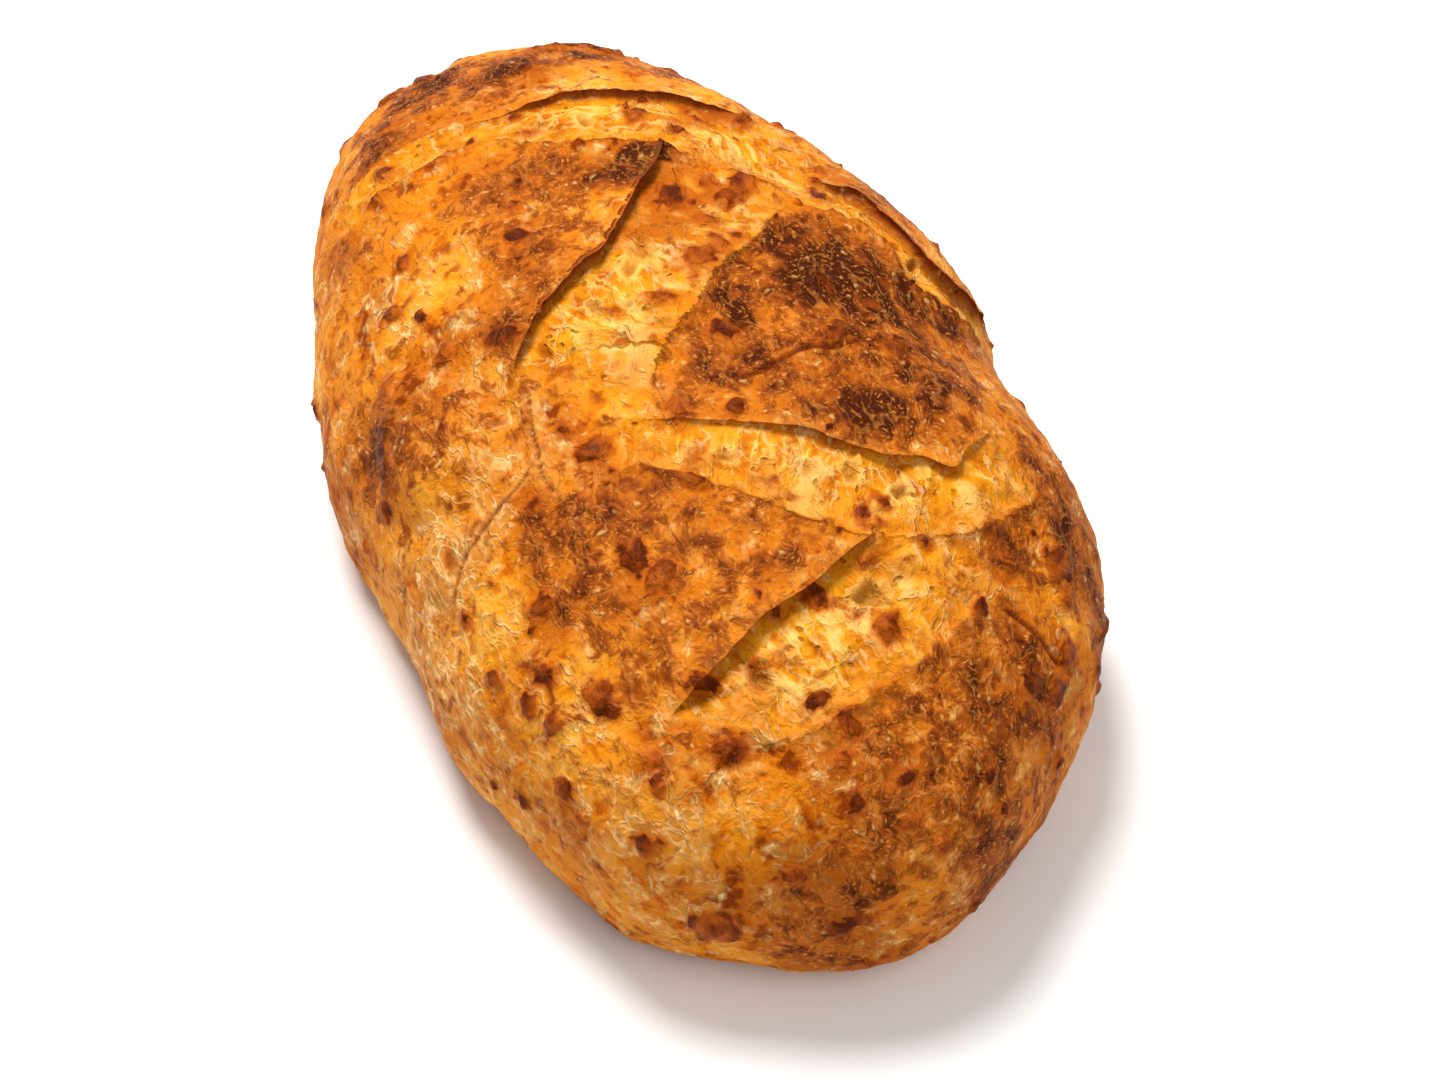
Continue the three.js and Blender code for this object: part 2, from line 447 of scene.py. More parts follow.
# Toasted crust: x, y, how far it spreads along X and Y, and how dark it is.
TOAST = [
    (18, 32, 24, 26, 0.45), (-6, 30, 13, 15, 0.95), (4, 42, 14, 14, 0.85), (1, 7, 10, 7, 0.8),
    (32, 44, 16, 14, 0.6), (43, 24, 9, 15, 0.9), (23, 4, 14, 15, 0.6), (7, 58, 11, 8, 0.8),
    (13, -5, 10, 6, 0.5), (-53, 9, 5, 7, 1.5), (-45, 1, 5, 7, 0.9), (-48, -6, 7, 12, 0.65),
    (-58, -22, 8, 14, 0.6), (-31, -28, 14, 12, 0.55), (-13, -44, 6, 6, 0.9),
    (44, -38, 7, 14, 0.55), (60, -25, 9, 17, 0.45), (72, -14, 8, 14, 0.35),
    (68, -38, 14, 15, 0.2), (60, -54, 9, 9, 0.75), (80, -48, 11, 12, 0.3), (82, -30, 9, 10, 0.4),
    (104, 17, 11, 15, 0.42), (115, 0, 12, 13, 0.42), (112, 23, 12, 11, 0.46),
    (126, 8, 13, 14, 0.42), (107, 37, 14, 5, 0.7), (124, -10, 12, 10, 0.4),
    (133, 17, 14, 12, 0.55), (-107, -9, 6, 9, 0.95), (-105, 15, 5, 9, 0.7), (-98, 40, 7, 10, 0.6),
    (-118, -23, 7, 10, 0.9), (76, 45, 11, 10, 0.6), (-113, 6, 6, 14, 0.45),
    (-108, -32, 8, 12, 0.5), (-100, -8, 9, 26, 0.35), (-96, -44, 9, 9, 0.6), (73, 62, 16, 7, 0.6),
    (84, 64, 18, 5, 0.65), (61, 60, 7, 6, 0.5), (0, -64, 11, 12, 0.45), (-10, -75, 8, 5, 0.9),
    (136, -26, 5, 18, 0.6), (-71, -63, 6, 5, 0.5), (30, -37, 5, 6, 0.5), (40, -55, 7, 5, 0.6),
    (-34, 68, 8, 12, 0.6), (-22, 79, 14, 6, 0.6),
]

# Torn crumb that browned: x, y, spread and how dark.
SCORCH = [
    (-40, 13, 10, 13, 1.2), (-27, 2, 8, 9, 0.7), (-27, -8, 6, 6, 0.6), (-70, 40, 5, 14, 0.9),
    (52, 54, 16, 9, 0.5), (77, 12, 7, 10, 0.4), (13, -26, 7, 7, 0.4), (-30, 32, 8, 8, 0.4),
    (36, -30, 7, 7, 0.4), (98, -30, 6, 6, 0.4),
]

# Skin stretched into pale lace: x, y, spread and how much.
LACE = [
    (35, -81, 20, 12, 1.0), (29, -71, 11, 12, 0.8), (-37, -61, 11, 9, 0.5), (-8, -52, 7, 9, 0.6),
    (77, -75, 14, 17, 0.5), (107, -63, 9, 17, 0.6), (115, -48, 11, 17, 0.5),
    (127, 7, 18, 17, 0.6), (57, -79, 14, 9, 0.5), (-8, -32, 11, 9, 0.3), (32, 37, 14, 17, 0.5),
    (89, 32, 14, 14, 0.4), (98, -59, 9, 14, 0.5), (15, 40, 14, 14, 0.5), (8, -56, 15, 9, 1.0),
    (26, -58, 8, 9, 0.7),
]

# Bits of cheese that browned in the crust: x, y and radius.
CHEESE = [
    (-39, -31, 2.8), (-31, -34, 2.5), (-32, -25, 1.6), (-12, -45, 3.0), (-37, 8, 3.0),
    (-35, 26, 2.6), (-13, 5, 3.4), (-3, -9, 2.4), (-18, 18, 2.1), (28, -17, 2.6), (33, -5, 1.7),
    (10, 2, 2.2), (2, 30, 2.6), (-31, 44, 2.4), (-67, 28, 3.4), (-66, 40, 2.1), (47, -22, 2.2),
    (59, -41, 2.5), (66, -37, 2.6), (30, -39, 2.8), (76, 41, 3.2), (45, 17, 2.2), (94, 5, 2.9),
    (104, -16, 1.8), (91, -38, 1.8), (111, -11, 2.2), (117, -15, 1.9), (124, -3, 2.8),
    (131, -5, 2.4), (100, 49, 3.0), (108, 43, 2.4), (93, 29, 1.7), (106, -37, 2.8),
    (101, -52, 2.4), (82, 43, 3.8), (89, 54, 2.3), (81, 57, 3.4), (108, 36, 2.4), (-5, -76, 2.6),
    (-11, -73, 2.8), (34, -55, 3.2), (70, -66, 2.9), (83, -58, 2.9), (73, -70, 1.9),
    (80, -67, 2.0), (57, -61, 3.0), (44, -75, 2.1), (98, -68, 1.7), (111, -58, 2.4),
    (139, -19, 1.9), (130, -32, 1.7), (-123, -23, 2.9), (-115, 4, 2.0), (-114, 9, 2.2),
    (-113, 14, 2.0), (-110, 21, 2.4), (-124, -31, 2.4), (-33, 22, 2.6), (-26, 13, 2.2),
    (-39, 17, 2.0), (-104, -3, 2.8), (-120, 21, 2.2), (-40, -62, 2.0), (-32, -57, 1.4),
    (84, 69, 2.2), (-8, -75, 3.0), (-1, -77, 3.0), (3, -79, 2.6),
]
BIGGEST_CHEESE = (126, -48, 28)     # low on the broad end: x, y and z
LOOSE_CHEESE = 130                  # more bits, scattered by chance

# Bits that melted pale, inside the cuts and beside them.
SOFT_CHEESE = [
    (-40, 17, 2.8), (6, -37, 2.4), (-3, -20, 1.7), (99, -30, 2.8), (93, -21, 2.2), (107, -8, 2.6),
    (76, 9, 2.3), (52, -5, 2.7), (43, -18, 2.4),
]

# Open bubbles in the torn crumb: x, y and radius.
BUBBLES = [
    (-20, -7, 3.6), (-15, -12, 2.4), (-29, 20, 2.2), (-66, 44, 2.9), (-50, 31, 2.3),
    (-72, 1, 2.0), (-75, -9, 1.7), (44, -13, 2.2), (53, 4, 2.8), (57, 13, 2.2), (39, -20, 1.6),
    (64, 22, 2.0), (70, 25, 1.5), (96, -26, 3.0), (92, -17, 2.1), (4, -12, 2.0), (-36, 28, 2.2),
    (-4, 1, 1.6), (68, 14, 1.7), (86, 5, 2.8), (100, -16, 1.8), (-8, -24, 1.6), (-1, -30, 1.3),
    (50, -5, 1.7), (-60, 28, 1.9), (-74, 14, 1.7), (60, 30, 1.9), (-5, 58, 1.9), (88, -6, 2.2),
]

dome_points = points.copy()


def above(x, y):
    """The point of the loaf's top at a place seen from above."""
    plan = np.array([x, y]) - CROWN
    share = np.hypot(*plan) / ring_radius(np.arctan2(plan[1], plan[0]))
    up = math.acos(min(share, 0.999) ** (FULLNESS / 2))
    return np.array([x, y, SHOULDER + (HEIGHT - SHOULDER) * math.sin(up) ** (2 / FULLNESS)])


tree = kdtree.KDTree(count)
for k, p in enumerate(dome_points):
    tree.insert(p, k)
tree.balance()


def blob(mask, centre, radius, seed, strength=1.0):
    """Adds to a mask a spot of uneven outline: strength at its middle, 0 at twice its radius."""
    centre = tree.find(centre)[0]
    grain_line = Vector((math.cos(seed * 2.4), math.sin(seed * 2.4), 0))
    for co, k, _ in tree.find_range(centre, radius * 2.6):
        gap = co - centre
        gap -= grain_line * gap.dot(grain_line) * 0.35
        ragged = 1.0 + 0.6 * noise.noise(co / (radius * 0.8) + Vector((seed, 0, 0)))
        value = (1 - gap.length * ragged / (2 * radius)) * strength
        if value > mask[k]:
            mask[k] = value


cheese = np.zeros(count)
soft_cheese = np.zeros(count)
bubble = np.zeros(count)
for k, (x, y, radius) in enumerate(CHEESE):
    blob(cheese, above(x, y), radius, k, 0.85 + 0.25 * math.sin(k * 5.3))
for k, (x, y, radius) in enumerate(SOFT_CHEESE):
    blob(soft_cheese, above(x, y), radius, k + 70)
for k, (x, y, radius) in enumerate(BUBBLES):
    blob(bubble, above(x, y), radius, k + 110, 0.8 + 0.3 * math.sin(k * 3.1))
blob(cheese, BIGGEST_CHEESE, 4.3, 64, 1.5)
chance = random.Random(7)
upper = np.flatnonzero(dome_points[:, 2] > 6)
for k in range(LOOSE_CHEESE):
    spot = dome_points[chance.choice(upper)]
    radius = chance.uniform(1.0, 1.6) if chance.random() < 0.6 else chance.uniform(1.6, 2.8)
    blob(cheese, spot, radius, k + 200, chance.uniform(0.45, 1.0))


def patches(spots):
    """How strongly each point of the loaf is in the soft-edged patches of a list."""
    total = np.zeros(count)
    for x, y, reach_x, reach_y, strength in spots:
        gap = ((dome_points[:, 0] - x) / reach_x) ** 2 + ((dome_points[:, 1] - y) / reach_y) ** 2
        here = strength * np.exp(-0.7 * gap)
        total = np.maximum(total, here) + 0.3 * np.minimum(total, here)
    return total * smooth(dome_points[:, 2], 4, 20)


toast = patches(TOAST) * (1 - 0.9 * torn)
scorch, lace = patches(SCORCH), patches(LACE)

# Seams: a fine groove, pricked by holes, on a low rise, with painted shade in the groove.
upper_plan = dome_points[high, :2]
for depth, pale, pricked, line in SEAMS:
    away, _, along, _, length = nearest_on(spline(line, spans=8), upper_plan)
    ends = smooth(along, -1, 4) * smooth(length - along, -1, 4)
    uneven = along + 1.5 * np.sin(along * 0.7) + 0.6 * np.sin(along * 2.9)
    holes = 1 - pricked * (0.5 - 0.5 * np.cos(2 * math.pi * uneven / PRICK))
    groove = np.exp(-((away / 0.6) ** 2)) * ends * holes
    lift[high] += 0.35 * np.exp(-((away / 3.5) ** 2)) * ends - depth * groove
    seam[high] = np.maximum(seam[high], pale * np.exp(-((away / 1.5) ** 2)) * ends)
    # The groove gets painted shade as well.
    crease_shade[high] = np.maximum(crease_shade[high], 0.8 * groove)

# The pillow of dough, with a furrow round it.
side = np.flatnonzero(dome_points[:, 2] > 12)
pillow_line = spline(PILLOW, closed=True)
side_plan = dome_points[side, :2]
from_rim = nearest_on(np.vstack([pillow_line, pillow_line[:1]]), side_plan)[0]
depth_in = np.where(inside(pillow_line, side_plan), from_rim, -from_rim)
lift[side] += 3.0 * smooth(depth_in, -1, 10) - 0.8 * np.exp(-(((depth_in + 1.5) / 2.5) ** 2))

# Relief all over the crust: swellings, wrinkles, lumps and grain, and folds in the torn dough.
for k, (x, y, z) in enumerate(dome_points):
    spot = Vector((x, y, z))
    swell = 1.9 * noise.noise(spot / 42) + 1.2 * noise.noise(spot / 19 + Vector((3, 1, 7)))
    wander = noise.noise_vector(spot / 8) * 5
    wrinkle = noise.fractal((spot + wander) / 7.5, 0.8, 2.1, 3)
    lumps = 1 - 2 * abs(noise.noise((spot + wander) / 6.5 + Vector((0, 5, 2))))
    grain = noise.noise(spot / 2.3)
    relief = swell + 0.45 * wrinkle + 0.25 * lumps + 0.16 * grain
    if fold[k] > 0.01:
        a, c = strand_along[k], strand_across[k]
        strand = 1 - 2 * abs(noise.noise(Vector((a / 4.2, c / 15, z / 40)) + wander / 12))
        folds = 1 - 2 * abs(noise.noise((spot + wander) / 9 + Vector((8, 0, 3))))
        relief += fold[k] * (0.4 * strand ** 2 + 1.3 * folds ** 2 - 0.6)
    lift[k] += relief * min(max(z / 8, 0), 1)       # none on the flat base

# Bits of cheese stand out of the crust, and bubbles are hollows with a raised rim.
bulge = 1.2 * smooth(cheese, 0.2, 0.75) + 1.4 * smooth(cheese, 1, 1.5)
lift += bulge * smooth(dome_points[:, 2], 3, 9)
lift += 0.6 * smooth(soft_cheese, 0.25, 0.9)
lift += torn * (0.6 * smooth(bubble, 0.2, 0.4) - 3.0 * smooth(bubble, 0.38, 0.9))

shaped = dome_points + normals * lift[:, None] + slide
flat = dome_points[:, 2] < 0.3
shaped[flat] = dome_points[flat]
shaped[flat, 2] = 0
shaped[:, 2] = np.maximum(shaped[:, 2], 0)
set_points(mesh, shaped)

MARKS = {
    "torn": torn, "toast": toast, "cheese": cheese, "soft_cheese": soft_cheese, "bubble": bubble,
    "lip_edge_highlight": lip_edge_highlight, "crease_shade": crease_shade, "seam": seam, "scorch": scorch, "lace": lace,
    "fold": fold, "strand_along": strand_along, "strand_across": strand_across,
}
for name, values in MARKS.items():
    mesh.attributes.new(name, "FLOAT", "POINT").data.foreach_set("value", values)

# The crust is smooth, and crisp along the lips.
mesh.shade_smooth()
lips = [np.isin(edges, cut["on_lip"]).all(1) for cut in CUTS]
mesh.edges.foreach_set("use_edge_sharp", np.any(lips, axis=0))

# ---------------------------------------------------------------- material

# Sockets told by number: the ends of a map range's two ranges, and a colour mix's two colours.
LOW, HIGH, TO_LOW, TO_HIGH = 1, 2, 3, 4
UNDER, OVER = 6, 7


def linear(code):
    """An sRGB hex colour as linear RGBA."""
    parts = [int(code[k:k + 2], 16) / 255 for k in (1, 3, 5)]
    return [p / 12.92 if p <= 0.04045 else ((p + 0.055) / 1.055) ** 2.4 for p in parts] + [1]


def node(tree, kind, sockets, output=0, stops=(), **settings):
    """Adds a node with its sockets' values or links, its settings, and a ramp's colour stops.

    The first two stops are the ramp's ends.
    """
    made = tree.nodes.new("ShaderNode" + kind)
    for name, value in settings.items():
        setattr(made, name, value)
    for name, value in sockets.items():
        socket = made.inputs[name]
        if isinstance(value, bpy.types.NodeSocket):
            tree.links.new(value, socket)
        else:
            socket.default_value = linear(value) if isinstance(value, str) else value
    for k, (position, code) in enumerate(stops):
        elements = made.color_ramp.elements
        element = elements[k] if k < 2 else elements.new(position)
        element.position = position
        element.color = linear(code)
    return made.outputs[output]


def crust_material():
    """Baked sourdough crust: golden, toasted brown on the flaps, with paler torn crumb.

    It is matt, because flour and starch dry out in the oven, and only the fried cheese, the
    blisters and the stretched threads have a little gloss. A pattern's scale is 1 over the size
    of its patches in millimetres. Real pores and blisters go down to a tenth of a millimetre,
    and are drawn 1 to 2 mm wide, so that they show.
    """
    material = bpy.data.materials.new("sourdough crust, oven baked")
    material.use_nodes = True
    t = material.node_tree
    shader = t.nodes["Principled BSDF"]
    at = {name: node(t, "Attribute", {}, "Fac", attribute_name=name) for name in MARKS}

    # Places in millimetres, then wandering and curling, so that nothing runs straight.
    place = node(t, "TexCoord", {}, "Object")
    where = node(t, "VectorMath", {0: place, "Scale": 1 / MM}, operation="SCALE")
    wander = node(t, "TexNoise", {"Vector": where, "Scale": 1 / 9, "Detail": 2.0}, "Color")
    drift = node(t, "VectorMath", {0: wander, 1: (6, 6, 6), 2: where}, operation="MULTIPLY_ADD")
    turns = node(t, "TexNoise", {"Vector": drift, "Scale": 1 / 3.6, "Detail": 1.0}, "Color")
    curl = node(t, "VectorMath", {0: turns, 1: (2.6, 2.6, 2.6), 2: drift}, operation="MULTIPLY_ADD")

    # Crust: deep orange to pale gold, in broad patches, mottling and grain.
    broad = node(t, "TexNoise", {"Vector": where, "Scale": 1 / 24, "Detail": 2.0})
    mottle = node(t, "TexNoise", {"Vector": drift, "Scale": 1 / 6.5, "Detail": 3.0,
                                  "Roughness": 0.55})
    grain = node(t, "TexNoise", {"Vector": curl, "Scale": 1 / 1.9, "Detail": 2.0,
                                 "Roughness": 0.6})
    tone = node(t, "Math", {0: broad, 1: 0.4, 2: 0.0}, operation="MULTIPLY_ADD")
    tone = node(t, "Math", {0: mottle, 1: 0.45, 2: tone}, operation="MULTIPLY_ADD")
    tone = node(t, "Math", {0: grain, 1: 0.15, 2: tone}, operation="MULTIPLY_ADD")
    crust = node(t, "ValToRGB", {"Fac": tone}, stops=[
        (0.39, "#7C3000"), (0.63, "#F5BA52"),
        (0.45, "#B25804"), (0.51, "#D47C0C"), (0.57, "#E89E28")])

    # Pale threads of stretched gluten: thin level lines of noise, broad and fine, in lace.
    drawn_out = node(t, "VectorMath", {0: drift, 1: (0.45, 1, 0.8)}, operation="MULTIPLY")
    wide = node(t, "TexNoise", {"Vector": drawn_out, "Scale": 1 / 6.5, "Detail": 2.5})
    wide = node(t, "Math", {0: wide, 1: 0.5}, operation="SUBTRACT")
    wide = node(t, "Math", {0: wide}, operation="ABSOLUTE")
    wide = node(t, "MapRange", {"Value": wide, LOW: 0.0, HIGH: 0.026, TO_LOW: 1.0, TO_HIGH: 0.0})
    tight = node(t, "TexNoise", {"Vector": drawn_out, "Scale": 1 / 3, "Detail": 1.0})
    tight = node(t, "Math", {0: tight, 1: 0.5}, operation="SUBTRACT")
    tight = node(t, "Math", {0: tight}, operation="ABSOLUTE")
    tight = node(t, "MapRange", {"Value": tight, LOW: 0.0, HIGH: 0.06, TO_LOW: 0.45, TO_HIGH: 0.0})
    threads = node(t, "Math", {0: wide, 1: tight}, operation="MAXIMUM")
    lacy = node(t, "TexNoise", {"Vector": where, "Scale": 1 / 8, "Detail": 3.0,
                                "Roughness": 0.6})
    lacy = node(t, "Math", {0: at["lace"], 1: 0.14, 2: lacy}, operation="MULTIPLY_ADD")
    lacy = node(t, "MapRange", {"Value": lacy, LOW: 0.5, HIGH: 0.64, TO_LOW: 0.0, TO_HIGH: 0.8})
    laced = node(t, "Math", {0: threads, 1: lacy}, operation="MULTIPLY")
    veil = node(t, "Math", {0: lacy, 1: 0.42}, operation="MULTIPLY")
    crust = node(t, "Mix", {"Factor": veil, UNDER: crust, OVER: "#EEB04C"}, 2, data_type="RGBA")
    crust = node(t, "Mix", {"Factor": laced, UNDER: crust, OVER: "#FAD290"}, 2, data_type="RGBA")

    # Toast: brown where the flaps stood up in the heat, broken by light flecks.
    toasted = node(t, "Math", {0: mottle, 1: 2.3, 2: at["toast"]}, operation="MULTIPLY_ADD")
    toasted = node(t, "Math", {0: grain, 1: 0.8, 2: toasted}, operation="MULTIPLY_ADD")
    toasted = node(t, "Math", {0: toasted, 1: 1.52}, operation="SUBTRACT")
    brown = node(t, "ValToRGB", {"Fac": toasted}, stops=[
        (0.0, "#C06C14"), (1.0, "#431703"), (0.35, "#A5540E"), (0.7, "#783508")])
    fleck = node(t, "TexNoise", {"Vector": curl, "Scale": 1.0, "Detail": 2.0})
    flecked = node(t, "MapRange", {"Value": fleck, LOW: 0.56, HIGH: 0.76, TO_LOW: 0.0, TO_HIGH: 0.7})
    outlined = node(t, "Math", {0: wide, 1: 0.3}, operation="MULTIPLY")
    flecked = node(t, "Math", {0: outlined, 1: flecked}, operation="MAXIMUM")
    brown = node(t, "Mix", {"Factor": flecked, UNDER: brown, OVER: "#E08C3C"}, 2, data_type="RGBA")
    browned = node(t, "MapRange", {"Value": toasted, LOW: -0.05, HIGH: 0.45})
    crust = node(t, "Mix", {"Factor": browned, UNDER: crust, OVER: brown}, 2, data_type="RGBA")

    # Torn crumb: butter yellow, with strands that run across the cut.
    strand_place = node(t, "CombineXYZ", {0: at["strand_along"], 1: at["strand_across"]})
    strand_place = node(t, "VectorMath", {0: strand_place, 1: (1, 0.13, 1)}, operation="MULTIPLY")
    strand_place = node(t, "VectorMath", {0: turns, 1: (1.2, 1.2, 1.2), 2: strand_place},
                        operation="MULTIPLY_ADD")
    strand = node(t, "TexNoise", {"Vector": strand_place, "Scale": 1 / 1.7, "Detail": 1.0})
    strand = node(t, "Mix", {"Factor": at["fold"], "A": 0.48, "B": strand})
    soft = node(t, "Math", {0: strand, 1: 0.3, 2: 0.0}, operation="MULTIPLY_ADD")
    soft = node(t, "Math", {0: mottle, 1: 0.55, 2: soft}, operation="MULTIPLY_ADD")
    soft = node(t, "Math", {0: grain, 1: 0.15, 2: soft}, operation="MULTIPLY_ADD")
    crumb = node(t, "ValToRGB", {"Fac": soft}, stops=[
        (0.36, "#9C4C04"), (0.66, "#EDB445"),
        (0.44, "#BE6A08"), (0.51, "#D28512"), (0.58, "#DF9A22")])

    # Its threads are paler: the broad ones, a net between cells in places, and the strands.
    net = node(t, "TexVoronoi", {"Vector": curl, "Scale": 1 / 5}, feature="DISTANCE_TO_EDGE")
    net = node(t, "MapRange", {"Value": net, LOW: 0.0, HIGH: 0.07, TO_LOW: 0.6, TO_HIGH: 0.0})
    patchy = node(t, "TexNoise", {"Vector": drift, "Scale": 1 / 7, "Detail": 1.0})
    patchy = node(t, "MapRange", {"Value": patchy, LOW: 0.48, HIGH: 0.58})
    net = node(t, "Math", {0: net, 1: patchy}, operation="MULTIPLY")
    drawn = node(t, "Math", {0: wide, 1: net}, operation="MAXIMUM")
    drawn = node(t, "Math", {0: drawn, 1: 0.45}, operation="MULTIPLY")
    pulled = node(t, "MapRange", {"Value": strand, LOW: 0.53, HIGH: 0.66, TO_LOW: 0.0, TO_HIGH: 0.35})
    drawn = node(t, "Math", {0: drawn, 1: pulled}, operation="MAXIMUM")
    crumb = node(t, "Mix", {"Factor": drawn, UNDER: crumb, OVER: "#F9D48E"}, 2, data_type="RGBA")

    # Bubbles have a pale rim, and their hollows and the small pores are drawn darker: painted shade
    # in the holes.
    rim = node(t, "MapRange", {"Value": at["bubble"], LOW: 0.26, HIGH: 0.36,
                               TO_LOW: 0.0, TO_HIGH: 0.35})
    crumb = node(t, "Mix", {"Factor": rim, UNDER: crumb, OVER: "#F3C66C"}, 2, data_type="RGBA")
    # Painted shade in the bubble's hollow.
    hollow = node(t, "MapRange", {"Value": at["bubble"], LOW: 0.38, HIGH: 0.7,
                                  TO_LOW: 0.0, TO_HIGH: 0.75})
    crumb = node(t, "Mix", {"Factor": hollow, UNDER: crumb, OVER: "#A4660E"}, 2, data_type="RGBA")
    pores = node(t, "TexVoronoi", {"Vector": drift, "Scale": 1 / 3})
    kinds = node(t, "TexVoronoi", {"Vector": drift, "Scale": 1 / 3}, "Color")
    chosen = node(t, "SeparateColor", {0: kinds})
    chosen = node(t, "MapRange", {"Value": chosen, LOW: 0.5, HIGH: 0.7})
    pore = node(t, "MapRange", {"Value": pores, LOW: 0.12, HIGH: 0.26, TO_LOW: 0.8, TO_HIGH: 0.0})
    pore = node(t, "Math", {0: pore, 1: chosen}, operation="MULTIPLY")
    pore = node(t, "Math", {0: pore, 1: at["torn"]}, operation="MULTIPLY")
    # Painted shade in the pores.
    crumb = node(t, "Mix", {"Factor": pore, UNDER: crumb, OVER: "#96560A"}, 2, data_type="RGBA")

    # It is deeper orange near the far edge, brown where it scorched, and ragged at its edge.
    outer = node(t, "MapRange", {"Value": at["torn"], LOW: 0.75, HIGH: 1.0,
                                 TO_LOW: 0.55, TO_HIGH: 0.0})
    crumb = node(t, "Mix", {"Factor": outer, UNDER: crumb, OVER: "#CB7A18"}, 2, data_type="RGBA")
    scorched = node(t, "Math", {0: mottle, 1: 1.8, 2: at["scorch"]}, operation="MULTIPLY_ADD")
    scorched = node(t, "MapRange", {"Value": scorched, LOW: 1.05, HIGH: 1.7})
    crumb = node(t, "Mix", {"Factor": scorched, UNDER: crumb, OVER: "#AE5A10"}, 2, data_type="RGBA")
    opened = node(t, "Math", {0: mottle, 1: 0.8, 2: at["torn"]}, operation="MULTIPLY_ADD")
    opened = node(t, "MapRange", {"Value": opened, LOW: 0.55, HIGH: 1.05})
    surface = node(t, "Mix", {"Factor": opened, UNDER: crust, OVER: crumb}, 2, data_type="RGBA")

    # A painted highlight lightens the lip's thin edge, the seams are pale, and painted shade darkens
    # the corner under a lip and the seams' grooves.
    # Painted highlight along the lip's thin edge.
    rim_highlight = node(t, "Math", {0: at["lip_edge_highlight"], 1: 0.15}, operation="MULTIPLY")
    surface = node(t, "Mix", {"Factor": rim_highlight, UNDER: surface, OVER: "#DC9640"}, 2, data_type="RGBA")
    surface = node(t, "Mix", {"Factor": at["seam"], UNDER: surface, OVER: "#F0BC68"}, 2,
                   data_type="RGBA")
    # Painted shade: the corner under a lip and the seams' grooves are darkened.
    surface = node(t, "Mix", {"Factor": at["crease_shade"], UNDER: surface, OVER: "#D88A5A"}, 2,
                   data_type="RGBA", blend_type="MULTIPLY")
    surface = node(t, "Mix", {"Factor": at["crease_shade"], UNDER: surface, OVER: "#62290A"}, 2,
                   data_type="RGBA")

    # Small blisters, paler on top: partly their own colour, partly a painted highlight; and small
    # scorched specks.
    cells = node(t, "TexVoronoi", {"Vector": drift, "Scale": 1 / 3.4})
    kinds = node(t, "TexVoronoi", {"Vector": drift, "Scale": 1 / 3.4}, "Color")
    chosen = node(t, "SeparateColor", {0: kinds})
    chosen = node(t, "MapRange", {"Value": chosen, LOW: 0.5, HIGH: 0.6})
    blister = node(t, "MapRange", {"Value": cells, LOW: 0.08, HIGH: 0.24, TO_LOW: 1.0, TO_HIGH: 0.0})
    blister = node(t, "Math", {0: blister, 1: chosen}, operation="MULTIPLY")
    # The pale tops are partly a painted highlight.
    pale_highlit_tops = node(t, "Math", {0: blister, 1: 0.45}, operation="MULTIPLY")
    surface = node(t, "Mix", {"Factor": pale_highlit_tops, UNDER: surface, OVER: "#F0BC68"}, 2, data_type="RGBA")
    spots = node(t, "TexVoronoi", {"Vector": curl, "Scale": 1 / 7})
    kinds = node(t, "TexVoronoi", {"Vector": curl, "Scale": 1 / 7}, "Color")
    chosen = node(t, "SeparateColor", {0: kinds})
    chosen = node(t, "MapRange", {"Value": chosen, LOW: 0.5, HIGH: 0.8})
    speck = node(t, "MapRange", {"Value": spots, LOW: 0.1, HIGH: 0.3, TO_LOW: 0.8, TO_HIGH: 0.0})
    speck = node(t, "Math", {0: speck, 1: chosen}, operation="MULTIPLY")
    surface = node(t, "Mix", {"Factor": speck, UNDER: surface, OVER: "#8E3E08"}, 2, data_type="RGBA")

    # Cheese: red brown where it fried on the crust, orange where it stayed under the skin.
    edge = node(t, "Math", {0: grain, 1: 0.3, 2: at["cheese"]}, operation="MULTIPLY_ADD")
    halo = node(t, "MapRange", {"Value": edge, LOW: 0.3, HIGH: 0.6, TO_LOW: 0.0, TO_HIGH: 0.9})
    surface = node(t, "Mix", {"Factor": halo, UNDER: surface, OVER: "#A34A0C"}, 2, data_type="RGBA",
                   blend_type="DARKEN")
    fried = node(t, "ValToRGB", {"Fac": mottle}, stops=[
        (0.38, "#481602"), (0.62, "#A8520E"), (0.5, "#7A3206")])
    heart = node(t, "MapRange", {"Value": edge, LOW: 0.57, HIGH: 0.66, TO_HIGH: 0.95})
    surface = node(t, "Mix", {"Factor": heart, UNDER: surface, OVER: fried}, 2, data_type="RGBA",
                   blend_type="DARKEN")
    melted = node(t, "Math", {0: grain, 1: 0.4, 2: at["soft_cheese"]}, operation="MULTIPLY_ADD")
    melted = node(t, "MapRange", {"Value": melted, LOW: 0.45, HIGH: 0.85, TO_LOW: 0.0, TO_HIGH: 0.8})
    amber = node(t, "ValToRGB", {"Fac": mottle}, stops=[(0.4, "#9A4404"), (0.6, "#DA8626")])
    surface = node(t, "Mix", {"Factor": melted, UNDER: surface, OVER: amber}, 2, data_type="RGBA")

    # The dry crust mirrors hardly anything, and is glossier only where fat or a thin skin shines.
    t.links.new(surface, shader.inputs["Base Color"])
    shader.inputs["IOR"].default_value = 1.45
    shader.inputs["Specular IOR Level"].default_value = 0.05
    oily = node(t, "Math", {0: heart, 1: 0.5}, operation="MULTIPLY")
    oily = node(t, "Math", {0: oily, 1: blister}, operation="MAXIMUM")
    oily = node(t, "Math", {0: oily, 1: laced}, operation="MAXIMUM")
    gloss = node(t, "MapRange", {"Value": oily, TO_LOW: 0.6, TO_HIGH: 0.2})
    t.links.new(gloss, shader.inputs["Roughness"])

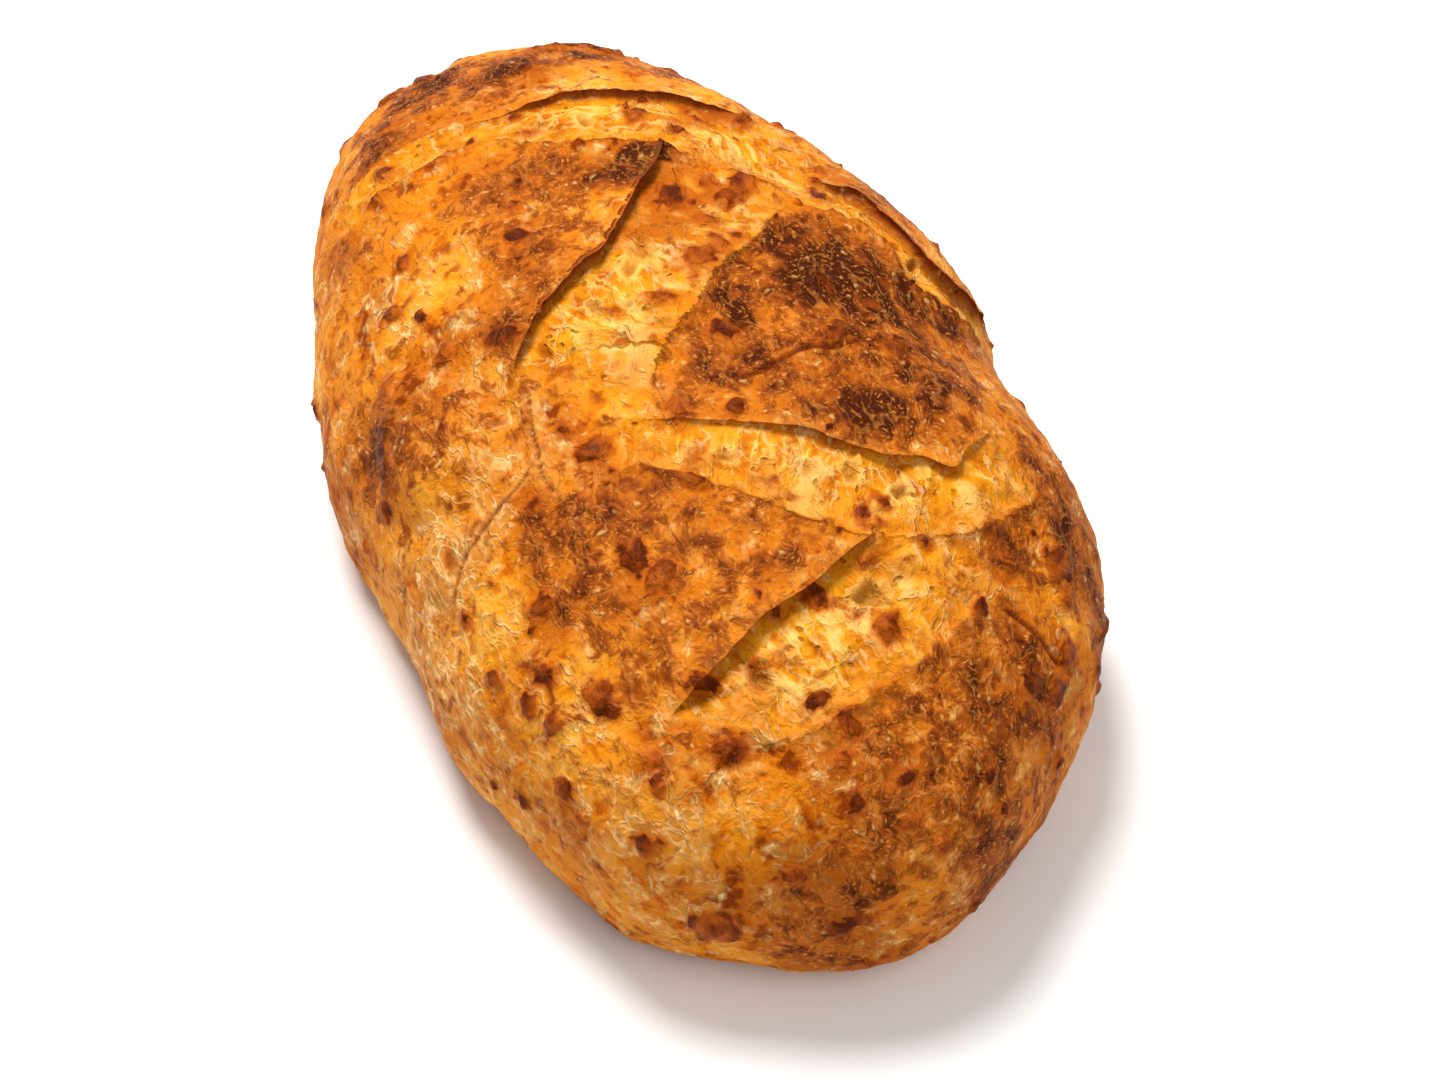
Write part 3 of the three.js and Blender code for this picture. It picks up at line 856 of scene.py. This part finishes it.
    # Relief in millimetres, finer than the mesh shows.
    height = node(t, "Math", {0: laced, 1: 0.3, 2: 0.0}, operation="MULTIPLY_ADD")
    height = node(t, "Math", {0: mottle, 1: 2.0, 2: height}, operation="MULTIPLY_ADD")
    height = node(t, "Math", {0: grain, 1: 0.5, 2: height}, operation="MULTIPLY_ADD")
    height = node(t, "Math", {0: fleck, 1: 0.15, 2: height}, operation="MULTIPLY_ADD")
    height = node(t, "Math", {0: blister, 1: 0.3, 2: height}, operation="MULTIPLY_ADD")
    height = node(t, "Math", {0: strand, 1: 0.7, 2: height}, operation="MULTIPLY_ADD")
    height = node(t, "Math", {0: pore, 1: -0.7, 2: height}, operation="MULTIPLY_ADD")
    height = node(t, "Math", {0: threads, 1: 0.15, 2: height}, operation="MULTIPLY_ADD")
    bump = node(t, "Bump", {"Strength": 1.0, "Distance": 1.0 * MM, "Height": height})
    t.links.new(bump, shader.inputs["Normal"])
    return material


mesh.materials.clear()
mesh.materials.append(crust_material())
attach(loaf, "root")
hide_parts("loaf")

# ---------------------------------------------------------------- floor, light and camera


def floor_material():
    """A plain matt white card."""
    material = bpy.data.materials.new("white card, matt")
    material.use_nodes = True
    shader = material.node_tree.nodes["Principled BSDF"]
    shader.inputs["Base Color"].default_value = linear("#F4F3F1")
    shader.inputs["Roughness"].default_value = 0.9
    return material


bpy.ops.object.select_all(action="DESELECT")
bpy.ops.mesh.primitive_plane_add(size=4)
floor = bpy.context.object
floor.name = "floor"
floor.data.materials.append(floor_material())


def lamp(name, place, size, watts):
    """A round soft lamp that shines on the loaf."""
    target = Vector((0, 0, 0.04))
    bpy.ops.object.light_add(type="AREA", location=place)
    made = bpy.context.object
    made.name = name
    made.data.shape = "DISK"
    made.data.size = size
    made.data.energy = watts
    made.rotation_euler = (target - Vector(place)).to_track_quat("-Z", "Y").to_euler()


lamp("key", (-0.5, -0.1, 1.2), 0.6, 22)
lamp("fill", (0.9, 0.2, 1.1), 1.2, 6.5)
scene.world = scene.world or bpy.data.worlds.new("studio")
scene.world.use_nodes = True
studio = scene.world.node_tree.nodes["Background"].inputs
studio["Color"].default_value = linear("#FFFFFF")
studio["Strength"].default_value = 0.42
scene.view_settings.view_transform = "Standard"

CAMERA = Vector((550.2, -255.5, 722.8)) * MM
AIM = Vector((3.5, 7.9, 0)) * MM
ROLL_ANGLE = math.radians(3.28)
bpy.ops.object.camera_add(location=CAMERA)
camera = bpy.context.object
camera.data.lens = 94.5
camera.data.sensor_width = 36
look = (AIM - CAMERA).to_track_quat("-Z", "Y")
camera.rotation_euler = (look @ Euler((0, 0, ROLL_ANGLE)).to_quaternion()).to_euler()
scene.camera = camera
